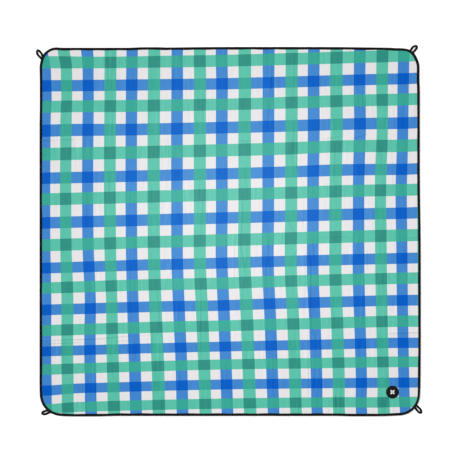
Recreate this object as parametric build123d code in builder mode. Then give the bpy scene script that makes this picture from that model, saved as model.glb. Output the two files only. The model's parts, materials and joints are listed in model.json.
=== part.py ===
from build123d import *

import os
from math import cos, radians, sin

# A padded picnic mat that lies open on the ground: a woven cover on a thin foam pad on a waterproof
# backing, bound all round with a folded tape, with a peg loop at each corner and a round sewn badge.
# Three fold lines run across its width. Each layer is one sheet on the real mat, and is cut here at
# the fold lines, so that the four panels can turn over onto each other.
# The origin is the centre of the underside, +X is to the right and +Y is towards the back edge.

# Overall size, over the binding
MAT_WIDTH = 1500.0
MAT_DEPTH = 1450.0
CORNER_RADIUS = 80.0

# Thickness of each layer
TAPE_THICKNESS = 0.6
BACKING_THICKNESS = 0.4
FOAM_THICKNESS = 2.4
COVER_THICKNESS = 0.5

# Binding tape, which wraps the edge, and the thread that sews it down
BINDING_OVERLAP = 9.0
BINDING_EDGE_RADIUS = 1.2
THREAD_INSET = 6.5
THREAD_WIDTH = 0.8
THREAD_HEIGHT = 0.3

# Fold lines across the mat, and the gap that each leaves between its two panels
FRONT_FOLD_Y = -412.0
CENTRE_FOLD_Y = -23.0
BACK_FOLD_Y = 368.0
FOLD_GAP = 1.0

# Peg loops: flat tape folded round into a loop, with u measured outwards from its hinge line
LOOP_AXIS_OFFSET = 5.0
LOOP_TAPE_THICKNESS = 2.0
LOOP_ROOT_HALF_WIDTH = 6.2
LOOP_LENGTH = 30.0
LOOP_BELLY = (18.0, 10.5)
LOOP_SHOULDER = (26.0, 9.0)
LOOP_TIP_HALF_WIDTH = 4.0
OPENING_ROOT = (3.5, 1.7)
OPENING_BELLY = (18.0, 5.15)
OPENING_SHOULDER = (23.5, 4.2)
OPENING_TIP = (24.8, 2.6)
LOOP_CORNER_RADIUS = 0.8
HINGE_CLEARANCE = 0.9
TAIL_LENGTH = 12.0

# Where each peg loop leaves its rounded corner, as an angle on the corner's arc, and where it points
PEG_LOOPS = {
    "front_left": {"side": (-1, -1), "arc_angle": 233, "points": 208},
    "front_right": {"side": (1, -1), "arc_angle": 324, "points": 314},
    "back_left": {"side": (-1, 1), "arc_angle": 149, "points": 125},
    "back_right": {"side": (1, 1), "arc_angle": 53, "points": 53},
}

# Bar tack that sews each loop's tail into the binding
TACK_INSET = 3.7
TACK_LENGTH = 10.0
TACK_WIDTH = 3.0
TACK_HEIGHT = 0.4

# Round badge on the front right corner, with a plain four-petal flower on it
BADGE_FROM_RIGHT = 109.0
BADGE_FROM_FRONT = 93.0
BADGE_RADIUS = 25.5
BADGE_THICKNESS = 0.8
BADGE_EDGE_RADIUS = 0.3
BADGE_SEAM_RADIUS = 23.0
BADGE_SEAM_WIDTH = 0.6
BADGE_RELIEF = 0.2
PETAL_COUNT = 4
PETAL_OFFSET = 5.6
PETAL_LENGTH = 9.6
PETAL_WIDTH = 6.4
FLOWER_EYE_RADIUS = 1.7

# Levels, from the ground up
backing_z = TAPE_THICKNESS
foam_z = backing_z + BACKING_THICKNESS
cover_z = foam_z + FOAM_THICKNESS
cover_top = cover_z + COVER_THICKNESS
mat_top = cover_top + TAPE_THICKNESS
loop_z = mat_top / 2

LAYERS = {
    "backing": (backing_z, BACKING_THICKNESS),
    "foam_pad": (foam_z, FOAM_THICKNESS),
    "top_cover": (cover_z, COVER_THICKNESS),
}

# Panels between the fold lines, each from its front edge to its back edge
edge_y = MAT_DEPTH / 2
half_gap = FOLD_GAP / 2
PANELS = {
    "front_quarter": (-edge_y, FRONT_FOLD_Y - half_gap),
    "front_middle": (FRONT_FOLD_Y + half_gap, CENTRE_FOLD_Y - half_gap),
    "back_middle": (CENTRE_FOLD_Y + half_gap, BACK_FOLD_Y - half_gap),
    "back_quarter": (BACK_FOLD_Y + half_gap, edge_y),
}


def mat_outline(inset, mode=Mode.ADD):
    """Adds the mat's rounded outline, moved in from its edge by inset, to the sketch being built."""
    RectangleRounded(MAT_WIDTH - 2 * inset, MAT_DEPTH - 2 * inset, CORNER_RADIUS - inset, mode=mode)


def panel_strip(panel, mode=Mode.ADD):
    """Adds the full-width strip that one panel lies in to the sketch being built."""
    front, back = PANELS[panel]
    with Locations((0, (front + back) / 2)):
        Rectangle(MAT_WIDTH, back - front, mode=mode)


def corner_plane(side, arc_angle, inset, z):
    """Plane at a place on a corner's arc, with its X axis pointing straight out of the mat."""
    angle = radians(arc_angle)
    out = Vector(cos(angle), sin(angle), 0)
    centre = Vector(side[0] * (MAT_WIDTH / 2 - CORNER_RADIUS), side[1] * (edge_y - CORNER_RADIUS), z)
    return Plane(origin=centre + out * (CORNER_RADIUS - inset), x_dir=out, z_dir=(0, 0, 1))


def loop_plane(loop):
    """Plane at the middle of a loop's hinge line, with its X axis along the loop."""
    angle = radians(loop["points"])
    along = Vector(cos(angle), sin(angle), 0)
    edge = corner_plane(loop["side"], loop["arc_angle"], 0, loop_z).origin
    return Plane(origin=edge + along * LOOP_AXIS_OFFSET, x_dir=along, z_dir=(0, 0, 1))


def save(part, name):
    """Labels one sub-part and writes it to its own STEP file."""
    part.label = name
    export_step(part, f"parts/{name}.step")


os.makedirs("parts", exist_ok=True)

# ---------------------------------------------------------------- backing, foam pad and top cover
for panel in PANELS:
    for layer_name, (z, thickness) in LAYERS.items():
        with BuildPart() as layer:
            with BuildSketch(Plane.XY.offset(z)):
                mat_outline(TAPE_THICKNESS)
                panel_strip(panel, mode=Mode.INTERSECT)
            extrude(amount=thickness)
        save(layer.part, f"{panel}_{layer_name}")

# ---------------------------------------------------------------- binding round the edge
for panel in PANELS:
    with BuildPart() as binding:
        with BuildSketch():
            mat_outline(0)
        extrude(amount=mat_top)
        fillet(binding.faces().filter_by(Axis.Z).edges(), BINDING_EDGE_RADIUS)
        with BuildSketch(Plane.XY.offset(backing_z)):
            mat_outline(TAPE_THICKNESS)
        extrude(amount=cover_top - backing_z, mode=Mode.SUBTRACT)
        with BuildSketch():
            mat_outline(BINDING_OVERLAP)
        extrude(amount=mat_top, mode=Mode.SUBTRACT)
        with BuildSketch():
            panel_strip(panel)
        extrude(amount=mat_top, mode=Mode.INTERSECT)
    save(binding.part, f"{panel}_binding")

# ---------------------------------------------------------------- thread along the binding
for panel in PANELS:
    with BuildPart() as thread:
        with BuildSketch(Plane.XY.offset(mat_top)):
            mat_outline(THREAD_INSET)
            mat_outline(THREAD_INSET + THREAD_WIDTH, mode=Mode.SUBTRACT)
            panel_strip(panel, mode=Mode.INTERSECT)
        extrude(amount=THREAD_HEIGHT)
    save(thread.part, f"{panel}_binding_thread")

# ---------------------------------------------------------------- peg loops at the corners
for corner, loop in PEG_LOOPS.items():
    hinge = loop_plane(loop)
    half_thickness = LOOP_TAPE_THICKNESS / 2
    with BuildPart() as peg_loop:
        with BuildSketch(hinge.offset(-half_thickness)) as loop_shape:
            with BuildLine():
                Polyline(
                    (-half_thickness, 0),
                    (-half_thickness, LOOP_ROOT_HALF_WIDTH),
                    LOOP_BELLY,
                    LOOP_SHOULDER,
                    (LOOP_LENGTH, LOOP_TIP_HALF_WIDTH),
                    (LOOP_LENGTH, 0),
                )
                mirror(about=Plane.XZ)
            make_face()
            with BuildLine():
                Polyline(
                    (OPENING_ROOT[0], 0),
                    OPENING_ROOT,
                    OPENING_BELLY,
                    OPENING_SHOULDER,
                    OPENING_TIP,
                    (OPENING_TIP[0], 0),
                )
                mirror(about=Plane.XZ)
            make_face(mode=Mode.SUBTRACT)
            fillet(loop_shape.vertices(), LOOP_CORNER_RADIUS)
        extrude(amount=LOOP_TAPE_THICKNESS)
        across = Axis(hinge.origin, hinge.y_dir)
        along = Axis(hinge.origin, hinge.x_dir)
        fillet(peg_loop.edges().filter_by(across).group_by(along)[0], 0.95 * half_thickness)
    save(peg_loop.part, f"{corner}_peg_loop")

# ---------------------------------------------------------------- sewn-in tail of each peg loop
for corner, loop in PEG_LOOPS.items():
    hinge = loop_plane(loop)
    half_thickness = LOOP_TAPE_THICKNESS / 2
    tail_end = -half_thickness - HINGE_CLEARANCE
    with BuildPart() as tail:
        with BuildSketch(hinge.offset(-half_thickness)):
            with Locations((tail_end - TAIL_LENGTH / 2, 0)):
                Rectangle(TAIL_LENGTH, 2 * LOOP_ROOT_HALF_WIDTH)
        extrude(amount=LOOP_TAPE_THICKNESS)
        with BuildSketch():
            mat_outline(0)
        extrude(amount=mat_top, mode=Mode.SUBTRACT)
    save(tail.part, f"{corner}_loop_tail")

# ---------------------------------------------------------------- bar tack over each loop's tail
for corner, loop in PEG_LOOPS.items():
    with BuildPart() as tack:
        with BuildSketch(corner_plane(loop["side"], loop["arc_angle"], TACK_INSET, mat_top)):
            Rectangle(TACK_WIDTH, TACK_LENGTH)
        extrude(amount=TACK_HEIGHT)
    save(tack.part, f"{corner}_bar_tack")

# ---------------------------------------------------------------- round badge
badge_centre = (MAT_WIDTH / 2 - BADGE_FROM_RIGHT, BADGE_FROM_FRONT - edge_y)
badge_top = cover_top + BADGE_THICKNESS

with BuildPart() as badge:
    with BuildSketch(Plane.XY.offset(cover_top)):
        with Locations(badge_centre):
            Circle(BADGE_RADIUS)
    extrude(amount=BADGE_THICKNESS)
    fillet(badge.faces().sort_by(Axis.Z)[-1].edges(), BADGE_EDGE_RADIUS)
save(badge.part, "badge")

with BuildPart() as badge_seam:
    with BuildSketch(Plane.XY.offset(badge_top)):
        with Locations(badge_centre):
            Circle(BADGE_SEAM_RADIUS)
            Circle(BADGE_SEAM_RADIUS - BADGE_SEAM_WIDTH, mode=Mode.SUBTRACT)
    extrude(amount=BADGE_RELIEF)
save(badge_seam.part, "badge_seam")

with BuildPart() as badge_flower:
    with BuildSketch(Plane.XY.offset(badge_top)):
        with Locations(badge_centre):
            with PolarLocations(PETAL_OFFSET, PETAL_COUNT, start_angle=45):
                Ellipse(PETAL_LENGTH / 2, PETAL_WIDTH / 2)
            Circle(FLOWER_EYE_RADIUS, mode=Mode.SUBTRACT)
    extrude(amount=BADGE_RELIEF)
save(badge_flower.part, "badge_flower")
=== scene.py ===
import json
from math import cos, pi, radians, sin

import bpy
import numpy as np
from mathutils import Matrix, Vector

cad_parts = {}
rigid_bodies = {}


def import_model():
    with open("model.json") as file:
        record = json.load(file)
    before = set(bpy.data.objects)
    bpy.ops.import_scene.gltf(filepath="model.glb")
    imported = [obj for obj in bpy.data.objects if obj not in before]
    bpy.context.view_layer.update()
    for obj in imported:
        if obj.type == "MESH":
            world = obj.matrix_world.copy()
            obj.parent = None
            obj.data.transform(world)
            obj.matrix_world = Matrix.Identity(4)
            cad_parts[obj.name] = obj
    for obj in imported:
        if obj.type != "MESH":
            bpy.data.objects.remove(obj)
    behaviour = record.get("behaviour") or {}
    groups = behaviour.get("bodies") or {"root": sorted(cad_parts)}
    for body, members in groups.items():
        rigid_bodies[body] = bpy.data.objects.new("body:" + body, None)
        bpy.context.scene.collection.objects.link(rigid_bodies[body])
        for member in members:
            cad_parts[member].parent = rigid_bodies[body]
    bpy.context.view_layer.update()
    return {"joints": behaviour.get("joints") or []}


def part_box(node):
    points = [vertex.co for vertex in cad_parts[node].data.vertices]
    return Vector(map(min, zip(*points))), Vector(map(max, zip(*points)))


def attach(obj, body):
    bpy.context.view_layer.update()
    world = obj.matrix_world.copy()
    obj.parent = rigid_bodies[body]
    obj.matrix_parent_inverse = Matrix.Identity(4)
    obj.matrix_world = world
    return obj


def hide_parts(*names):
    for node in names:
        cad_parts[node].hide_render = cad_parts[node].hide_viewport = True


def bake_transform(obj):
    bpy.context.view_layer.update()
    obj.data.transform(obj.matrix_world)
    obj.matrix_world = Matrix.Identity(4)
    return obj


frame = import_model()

# A padded picnic mat lying open: checked cover, foam and backing, bound edge, peg loops and a badge.
# Lengths are metres in the CAD model's frame, +Z up, and tables in millimetres are turned into metres
# with MM. Each layer is one cloth on the real mat. It is made here in three sections that meet halfway
# between the folds.
MM = 0.001

# ---------------------------------------------------------------- what the frame says
half_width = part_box("front_middle_binding")[1].x
half_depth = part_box("back_quarter_binding")[1].y
mat_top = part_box("front_middle_binding")[1].z
backing_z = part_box("front_middle_backing")[0].z
foam_z, foam_top = (corner.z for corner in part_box("front_middle_foam_pad"))
cover_z, cover_top = (corner.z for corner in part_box("front_middle_top_cover"))
joints = {joint["name"]: joint for joint in frame["joints"]}
badge_low, badge_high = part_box("badge")
badge_centre = (badge_low + badge_high) / 2

# ---------------------------------------------------------------- sizes
# Corner of the mat, how far inside the mat's edge the layers end, and the gap above the backing and foam
CORNER_RADIUS = 80 * MM
LAYER_INSET = 1.4 * MM
FOAM_CLEARANCE = 0.05 * MM

# Grid of the cloth, and how fine it gets near a crease, a wrinkle or a fold mark
CROSS_STEP = 7 * MM
GRID_STEP = 9 * MM
FINE_STEP = 1.3 * MM
FINE_REACH = 5 * MM
BACKING_STEP = 13 * MM
FOAM_STEP = 26 * MM
CORNER_STEPS = 16
LEAST_CORNER_REACH = 0.02
SPACING_SAMPLES = 6001
MARK_PLACES = (-0.35, 0, 0.35)

# How far each side of a fold line the cloth bends
FOLD_BENDS = {"front_fold": 7 * MM, "centre_fold": 16 * MM, "back_fold": 7 * MM}

# Ripples: how many waves they are made of, and the shortest and longest as shares of their length
RIPPLE_WAVES = 9
RIPPLE_PITCHES = (0.75, 1.35)

# Shallow rise and fall of the cloth, and the puckers along its seam
BROAD_LIFT = 0.4 * MM
BROAD_WAVE = 380 * MM
EDGE_LIFT = 0.3 * MM
EDGE_WAVE = 150 * MM
EDGE_LIFT_REACH = 60 * MM
PUCKER_HEIGHT = 0.28 * MM
PUCKER_WAVE = 26 * MM
PUCKER_REACH = 26 * MM
COVER_CLEAR_INSET = 10 * MM
COVER_RISE_INSET = 16 * MM
BADGE_FLAT_REACH = 70 * MM

# Faint pairs of creases along the fold lines, and how far apart each pair is
CREASE_SWAY = 1.5 * MM
CREASE_WIDTH = 3.6 * MM
CREASE_HEIGHT = 0.25 * MM
CREASES_APART = {"front_fold": 20 * MM, "centre_fold": 7 * MM, "back_fold": 7 * MM}

# Wrinkles: widths of a ridge's steep and gentle sides, the band of painted shade at its steep foot, which
# is painted light where that side faces the light, and its sway
STEEP_WIDTH = 1.9 * MM
GENTLE_WIDTH = 8 * MM
FOOT_OFFSET = 1.2 * MM
FOOT_WIDTH = 2.6 * MM
WRINKLE_SWAY = 1.2 * MM
WRINKLE_SWAY_LENGTH = 45 * MM
# the most painted light and shade at a wrinkle's foot
MOST_PAINTED_LIGHT = 1.2

# Each wrinkle's middle x and y and length in millimetres, turn from the depth direction in degrees,
# height in millimetres, and 1 where the ridge is steep on its right, or -1 on its left
WRINKLES = [
    (-538, 40, 1340, 0.3, 0.48, -1),
    (-536, -560, 260, 0, 0.72, -1),
    (-688, -130, 50, 0, 0.60, -1),
    (-658, 400, 50, 0, 0.72, -1),
    (-611, 250, 160, 1, 0.30, 1),
    (-517, -212, 120, 0, 0.66, -1),
    (-311, 145, 60, 0, 0.54, 1),
    (-288, 430, 130, 0, 0.54, -1),
    (-280, 610, 150, 0, 0.48, -1),
    (-284, -290, 210, -5, 0.78, 1),
    (-271, -670, 80, 0, 0.54, 1),
    (-249, 215, 110, 2, 0.42, 1),
    (-234, -130, 60, 8, 1.08, -1),
    (-253, -205, 60, 12, 0.72, 1),
    (-208, -315, 100, 0, 1.02, -1),
    (-199, -590, 80, 1, 0.60, 1),
    (-201, 50, 60, 0, 0.60, 1),
    (-116, -360, 240, 0, 0.78, 1),
    (-23, 230, 60, 0, 0.60, 1),
    (-26, 585, 60, 0, 0.48, -1),
    (17, -120, 190, 1, 0.54, 1),
    (24, -290, 60, 0, 0.60, 1),
    (47, 50, 190, 1, 0.84, 1),
    (50, -105, 110, -9, 0.90, 1),
    (50, -240, 110, 9, 0.60, 1),
    (142, -135, 110, 3, 0.78, 1),
    (164, 595, 80, 3, 0.90, 1),
    (171, -560, 300, 0, 0.54, 1),
    (249, 600, 230, 2, 0.54, 1),
    (248, 330, 230, 0, 0.72, 1),
    (241, 22, 62, -34, 0.90, 1),
    (249, -82, 55, 42, 0.72, -1),
    (287, 60, 70, 0, 0.66, 1),
    (294, -200, 230, 0, 0.48, 1),
    (307, -530, 250, 0, 0.78, 1),
    (317, -245, 350, -1, 1.10, 1),
    (329, -400, 60, -22, 0.96, 1),
    (330, -580, 90, 3, 0.84, 1),
    (348, -450, 80, 0, 0.72, -1),
    (406, 400, 90, 0, 0.54, -1),
    (411, 275, 150, 1, 0.78, 1),
    (494, -60, 90, 14, 0.72, -1),
    (501, 245, 70, 0, 0.72, -1),
    (527, 270, 130, 0, 0.78, 1),
    (533, 590, 150, 0, 0.78, -1),
    (527, -100, 60, 0, 0.84, 1),
    (540, -110, 60, 0, 0.84, 1),
    (521, -250, 190, 2, 0.60, -1),
    (571, -280, 70, 0, 0.54, 1),
    (524, -610, 110, 4, 0.54, 1),
    (599, -670, 50, -4, 0.72, 1),
    (639, 240, 170, -2, 0.48, 1),
]

# Marks of the folding near the fold lines, given in the same way
FOLD_MARKS = [
    (-555, -421, 380, 86.6, 0.9, 1),
    (-665, -439, 150, 88, 0.72, 1),
    (-425, -430, 70, 87, 0.48, 1),
    (690, -397, 130, 89, 1.14, 1),
    (688, -326, 40, 91, 0.72, 1),
    (415, -20, 90, 90, 0.60, 1),
    (725, -24, 60, 90, 0.72, 1),
    (-725, 362, 60, 89, 1.08, 1),
    (-642, 366, 60, 90, 1.08, 1),
    (62, 360, 70, 90, 0.72, 1),
    (512, 377, 60, 72, 0.72, 1),
    (405, 372, 70, 80, 0.60, 1),
]

# Small pulls on the outline: where, how far they reach and how far they move it, in millimetres
EDGE_PULLS = [
    ((-717, 716), (40, 40), (-3.2, 4.4)),
    ((-320, 725), (60, 60), (0, 2.0)),
    ((170, 725), (400, 110), (0, 3.4)),
    ((680, 725), (45, 45), (0, -1.6)),
    ((713, 709), (24, 24), (2.0, 2.4)),
    ((750, 640), (60, 70), (-1.9, 0)),
    ((750, 380), (100, 300), (-1.1, 0)),
    ((750, -280), (110, 370), (2.6, 0)),
    ((738, -708), (75, 75), (-2.0, 1.9)),
    ((535, -725), (90, 80), (0, -1.8)),
    ((0, -725), (690, 110), (0, -1.1)),
    ((-580, -725), (100, 80), (0, -2.2)),
    ((-735, -700), (70, 60), (2.0, 1.4)),
    ((-750, 540), (80, 90), (1.2, 0)),
]

# Small pulls on the printed cloth, in the same way
PRINT_PULLS = [
    ((-640, 735), (120, 60), (-14, 1)),
    ((-715, 705), (50, 45), (-7, 0)),
    ((-480, 700), (220, 45), (0, -4)),
    ((-60, 700), (200, 70), (-3, -2)),
    ((-620, 430), (150, 70), (0, 3.5)),
    ((-710, 50), (60, 650), (4, 0)),
    ((-610, -270), (150, 160), (5, 0)),
    ((-715, -650), (70, 70), (1, -6)),
    ((-230, -520), (200, 170), (3.5, 0)),
    ((-50, -270), (160, 110), (0, -3)),
    ((70, -100), (340, 150), (-5, 0)),
    ((300, -200), (170, 110), (-2.5, 0)),
    ((460, 400), (220, 140), (4, 0)),
    ((400, 300), (130, 70), (0, 3)),
    ((650, 150), (90, 130), (-3, 0)),
    ((700, 330), (120, 280), (0, -4)),
    ((640, -370), (190, 160), (0, 3.5)),
    ((-60, -570), (300, 70), (0, 2.2)),
    ((460, -690), (180, 75), (-4, 0)),
    ((685, -705), (50, 40), (4, 0)),
    ((-550, -260), (55, 130), (3, 0)),
    ((-690, 525), (50, 50), (3.5, 0)),
    ((-540, 620), (70, 60), (-2.5, 0)),
    ((20, 540), (230, 60), (0, -2)),
    ((-620, -680), (130, 60), (-2.5, 0)),
    ((-340, -76), (70, 50), (0, 2)),
    ((470, -200), (60, 160), (-2, 0)),
    ((570, 430), (50, 120), (2.5, 0)),
    ((560, -680), (60, 40), (-1.5, -2)),
]

# Stripes of the printed check, in millimetres, and the slight bow and tilt that the cloth gives them
COLUMN_STRIPES = [
    ("green", 48), ("white", 46), ("blue", 46.5), ("white", 43.5),
    ("green", 48), ("white", 39), ("blue", 47), ("white", 42.25),
]
ROW_STRIPES = [
    ("green", 47), ("white", 44.5), ("blue", 45), ("white", 34.5),
    ("green", 46.5), ("white", 45), ("blue", 45), ("white", 42),
]
COLUMN_START = 684.4
COLUMN_TILT = 10
COLUMN_BOW = -10.5
COLUMN_SPREAD = 17.8
COLUMN_SKEW = -9.7
ROW_START = 690.2
ROW_TILT = 20.9
ROW_BOW = 36.6
ROW_SPREAD = -27.7
ROW_TWIST = -7.6
ROW_SKEW = 7.6

# Binding: closed section as (inset from the edge, height), in millimetres, from its top inner edge
BINDING_SECTION = [
    (10.3, 3.95), (10.4, 4.28), (10.1, 4.48), (9.0, 4.52), (8.0, 4.36), (7.0, 4.50), (4.9, 4.62),
    (2.5, 4.58), (1.2, 4.28), (0.4, 3.60), (0.0, 2.70), (0.0, 1.80), (0.4, 0.90), (1.2, 0.22),
    (2.5, 0.0), (7.0, 0.0), (8.0, 0.26), (9.0, 0.0), (10.1, 0.0), (10.4, 0.24), (10.3, 0.55),
    (9.0, 0.56), (1.2, 0.58), (0.7, 1.60), (0.7, 2.90), (1.2, 3.92), (9.0, 3.93),
]
BINDING_WANDER = 0.07
BINDING_WANDER_WAVE = 90 * MM

# Stitches: the binding's seam, the shape of one stitch, and the bar tacks
SEAM_INSET = 8.0 * MM
SEAM_TOP = 4.42 * MM
SEAM_BOTTOM = 0.2 * MM
STITCH_PITCH = 3.8 * MM
STITCH_LENGTH = 3.2 * MM
STITCH_WIDTH = 0.75 * MM
STITCH_HEIGHT = 0.34 * MM
STITCH_SINK = 0.2 * MM
STITCH_TAPER = 0.9
STITCH_PLACES = (-1.0, -0.6, 0.0, 0.6, 1.0)
STITCH_SIDES = 6
TACK_STITCHES = 11
TACK_STITCH_LENGTH = 3.6 * MM
TACK_SPAN = 9.5 * MM
TACK_SWAY = 0.25 * MM
TACK_TOP = 4.66 * MM

# Peg loops: the middle line of each loop's tape, in millimetres from the middle of its hinge, outwards
# and to the left; its ends are cut off just inside the binding
LOOP_LINES = {
    "back_left": [
        (-14, 4), (-6, 5.5), (3, 7), (13, 8.5), (22.5, 7), (28.5, 2),
        (29, -2), (21.5, -5.5), (11, -6), (2, -4), (-6, -2.5), (-14, -2),
    ],
    "back_right": [
        (-14, 7.5), (-4, 8), (4, 8.5), (11, 9), (17.5, 6.5), (23, 2),
        (23.5, -2), (18.5, -5.5), (10, -6), (0, -5), (-8, -5), (-14, -5),
    ],
    "front_left": [
        (-16, 6), (-5, 6), (4, 5.5), (12, 3), (16.5, -0.5),
        (17, -4.5), (12, -7.5), (4, -6.5), (-5, -5), (-16, -4),
    ],
    "front_right": [
        (-14, 5), (-1, 6), (11, 6.5), (17.5, 4.5), (23, 1),
        (22.5, -3), (16.5, -6), (8, -6), (-2, -5), (-14, -4),
    ],
}
LOOP_TAPE_WIDTH = 9.0 * MM
LOOP_TAPE_THICKNESS = 1.4 * MM
LOOP_TAPE_SIDE = [(-0.55, 0.4), (-0.7, 0.5), (-0.94, 0.5), (-1.0, 0.25)]
LOOP_STEPS = 7
LOOP_ROOT_INSET = 1.2 * MM
LOOP_ROOT_GAP = 3 * MM
LOOP_FALL = 7 * MM
LOOP_BANK = 20
LOOP_BANK_RADIUS = 8 * MM
LOOP_BANK_WINDOW = 9
LOOP_REST_SHARE = 0.55
EDGE_ROUNDS = 4

# Badge, in millimetres: section of its disc as (radius, drop from its top), its seam and its flower
BADGE_SECTION = [
    (1.5, 0.05), (12.0, 0.04), (21.6, 0.0), (22.3, -0.10), (22.7, -0.16), (23.1, -0.10), (23.8, 0.0),
    (24.8, -0.01), (25.2, -0.08), (25.45, -0.24), (25.5, -0.45), (25.5, -0.8), (1.5, -0.8),
]
BADGE_SIDES = 96
BADGE_GROOVE_RADIUS = 22.7
BADGE_STITCHES = 44
BADGE_STITCH_LENGTH = 2.6
BADGE_STITCH_DROP = 0.04
PETAL_COUNT = 4
FIRST_PETAL_TURN = 45
PETAL_SIDES = 40
PETAL_OFFSET = 5.6
PETAL_LENGTH = 9.6
PETAL_WIDTH = 6.4
PETAL_HEIGHT = 0.22
PETAL_LIFT = 0.04
PETAL_PROFILE = [(1.0, -0.05), (1.0, 0.6), (0.93, 0.86), (0.75, 0.97), (0.4, 1.0), (0.08, 1.0)]
FLOWER_EYE_RADIUS = 1.8
FLOWER_EYE_SLOPE = 0.25
LEAST_PETAL_REACH = 0.2

WHITE = (234, 232, 234)
STRIPE_CODES = {"white": 0, "green": 1, "blue": 3}
CODE_STEPS = 8
CHECK_COLOURS = {
    0: WHITE,
    1: (91, 196, 171),
    2: (48, 146, 131),
    3: (65, 135, 210),
    4: (57, 169, 151),
    6: (0, 93, 200),
}
FOAM_COLOURS = [(236, 234, 228), (206, 203, 196)]
BACKING_COLOURS = [(62, 63, 66), (78, 79, 82)]
BINDING_COLOUR = (16, 13, 13)
LOOP_COLOUR = (15, 13, 13)
THREAD_COLOUR = (26, 23, 23)
BADGE_COLOURS = [(13, 13, 14), (24, 24, 26)]
BADGE_THREAD_COLOUR = (48, 48, 50)
PETAL_COLOURS = [(214, 214, 212), (238, 238, 236)]

# Print on the cover: painted shade between the threads, ragged stripe edges, a painted sheen on the middle,
# streaks that bump the cloth and paint the shade and light of fine wrinkles, a mottle, and painted light
# and shade at the wrinkles' feet
COVER_THREAD = 0.9 * MM
THREAD_SHADE = 0.03
RAGGED_SIZE = 1.4 * MM
RAGGED_SHARE = 0.003
# painted sheen: a pale patchy haze on the middle of the cover, for the broad reflection of the overhead
# light
PAINTED_SHEEN_MIDDLE = (-10 * MM, 120 * MM)
PAINTED_SHEEN_REACH = 560 * MM
PAINTED_SHEEN_PATCH = 220 * MM
PAINTED_SHEEN_PATCH_SHARE = 0.6
PAINTED_SHEEN_SHARE = 0.018
PAINTED_SHEEN_FADE = 0.11
STREAK_SIZE = (9 * MM, 130 * MM)
STREAK_PATCH = (110 * MM, 190 * MM)
STREAK_PATCH_SHARE = 6.0
STREAK_PATCH_MIDDLE = 0.7
STREAK_PATCH_RANGE = (0.25, 1.9)
# the streaks paint the print deeper and paler, and the cloth darker and lighter, as the shade and light of
# fine wrinkles
STREAK_PAINTED_INK_SHADE = 0.22
STREAK_SHADE = 0.09
MOTTLE_SIZE = (11 * MM, 9 * MM)
MOTTLE_SHADE = 0.08
# share of the painted light and shade at the wrinkles' feet
PAINTED_LIGHT_SHARE = 0.11
COVER_RELIEF = 1.2 * MM
THREAD_RELIEF = 0.03
STREAK_RELIEF = 0.7
MOTTLE_RELIEF = 0.2

# Studio
LIGHT_LEVEL = 1.2
WORLD_LEVEL = 0.36
SUN_LEVEL = 0.78
SUN_PLACE = (-3.4, 2.6, 2.7)
SUN_ANGLE = 28
OVERHEAD_POWER = 19.4
OVERHEAD_HEIGHT = 1.8
OVERHEAD_SIZE = 1.8
FLOOR_REACH = 20.0
FLOOR_LEVEL = -0.2 * MM
FLOOR_COLOUR = (0.96, 0.96, 0.96, 1)
FLOOR_GLOW = 0.2
SENSOR_WIDTH = 36
CAMERA_HEIGHT = 6.0
VIEW_WIDTH = 1.8138
VIEW_CENTRE = (0.0008, 0.0068)

# ---------------------------------------------------------------- sections of the cloth
fold_y = {name: joints[name]["pos_m"][1] for name in FOLD_BENDS}
front_cut = (fold_y["front_fold"] + fold_y["centre_fold"]) / 2
back_cut = (fold_y["centre_fold"] + fold_y["back_fold"]) / 2
layer_depth = half_depth - LAYER_INSET
cuts = [-layer_depth, front_cut, back_cut, layer_depth]
panels = ["front_quarter", "front_middle", "back_middle", "back_quarter"]
SECTIONS = {
    name: {"joint": f"{name}_fold", "y": tuple(cuts[i : i + 2]), "panels": tuple(panels[i : i + 2])}
    for i, name in enumerate(["front", "centre", "back"])
}
crease_lines = [
    fold_y[name] + side * apart for name, apart in CREASES_APART.items() for side in (-0.5, 0.5)
]


# ---------------------------------------------------------------- shape of the cloth
def ripples(x, y, length, seed):
    """Smooth waves of about one length, running every way, from -1 to 1."""
    random = np.random.default_rng(seed)
    total = np.zeros(np.shape(x))
    for _ in range(RIPPLE_WAVES):
        turn, phase = random.uniform(0, 2 * pi, 2)
        pitch = length * random.uniform(*RIPPLE_PITCHES)
        total += np.sin(2 * pi * (x * cos(turn) + y * sin(turn)) / pitch + phase)
    return np.tanh(total / np.sqrt(RIPPLE_WAVES))


def inset_of(x, y):
    """How far inside the mat's edge a point lies."""
    past_x = np.abs(x) - (half_width - CORNER_RADIUS)
    past_y = np.abs(y) - (half_depth - CORNER_RADIUS)
    outside = np.hypot(np.maximum(past_x, 0), np.maximum(past_y, 0))
    return CORNER_RADIUS - outside - np.minimum(np.maximum(past_x, past_y), 0)


def clear_of_badge(x, y, nearness=1):
    """From 0 at the badge, where the cloth lies flat, to 1 away from it."""
    off_badge = nearness * np.hypot(x - badge_centre.x, y - badge_centre.y) / BADGE_FLAT_REACH
    return 1 - np.exp(-(off_badge**4))


def lift(x, y):
    """How far every layer is raised off the ground at a point."""
    broad = BROAD_LIFT * (0.5 + 0.5 * ripples(x, y, BROAD_WAVE, seed=3))
    near_edge = np.exp(-(inset_of(x, y) / EDGE_LIFT_REACH) ** 2)
    edge = EDGE_LIFT * (0.5 + 0.5 * ripples(x, y, EDGE_WAVE, seed=5)) * near_edge
    return (broad + edge) * clear_of_badge(x, y)


def crease_rise(x, y):
    """Height of the faint ridges along the fold lines."""
    total = np.zeros(np.shape(x))
    height = CREASE_HEIGHT * (0.5 + 0.5 * ripples(x, 0 * y, BROAD_WAVE, seed=11))
    for name, apart in CREASES_APART.items():
        line = fold_y[name] + CREASE_SWAY * ripples(x, 0 * y, BROAD_WAVE, seed=13)
        for side in (-0.5, 0.5):
            total += height * np.exp(-(((y - line - side * apart) / CREASE_WIDTH) ** 2))
    return total


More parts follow.
